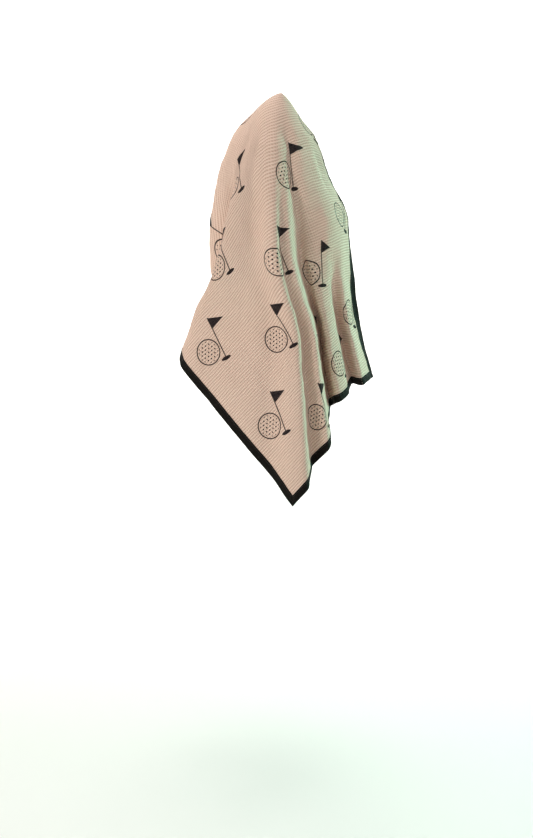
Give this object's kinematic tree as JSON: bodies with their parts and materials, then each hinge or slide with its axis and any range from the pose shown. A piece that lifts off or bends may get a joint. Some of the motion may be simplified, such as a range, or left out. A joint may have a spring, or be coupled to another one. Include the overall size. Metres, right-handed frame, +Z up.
{
  "type": "golf towel",
  "caption": "Waffle-weave microfibre golf towel with taped, lockstitched hems, hanging in folds over the club heads of a carried bag.",
  "frame": {"origin": "underside of the cloth at its peak, where a club head holds it up", "axes": "+Z up; the front, with the lowest front corner, faces -Y; the right long hem hangs on the +X side"},
  "size_m": [0.315, 0.3102, 0.6474],
  "materials": {
    "waffle_cloth": "matt waffle-weave microfibre",
    "binding_tape": "matt woven tape",
    "sewing_thread": "satin polyester thread"
  },
  "bodies": {
    "root": {"towel_panel": "waffle_cloth", "front_binding": "binding_tape", "back_binding": "binding_tape", "left_binding": "binding_tape", "right_binding": "binding_tape", "front_needle_thread": "sewing_thread", "back_needle_thread": "sewing_thread", "left_needle_thread": "sewing_thread", "right_needle_thread": "sewing_thread", "front_bobbin_thread": "sewing_thread", "back_bobbin_thread": "sewing_thread", "left_bobbin_thread": "sewing_thread", "right_bobbin_thread": "sewing_thread"}
  },
  "joints": []
}
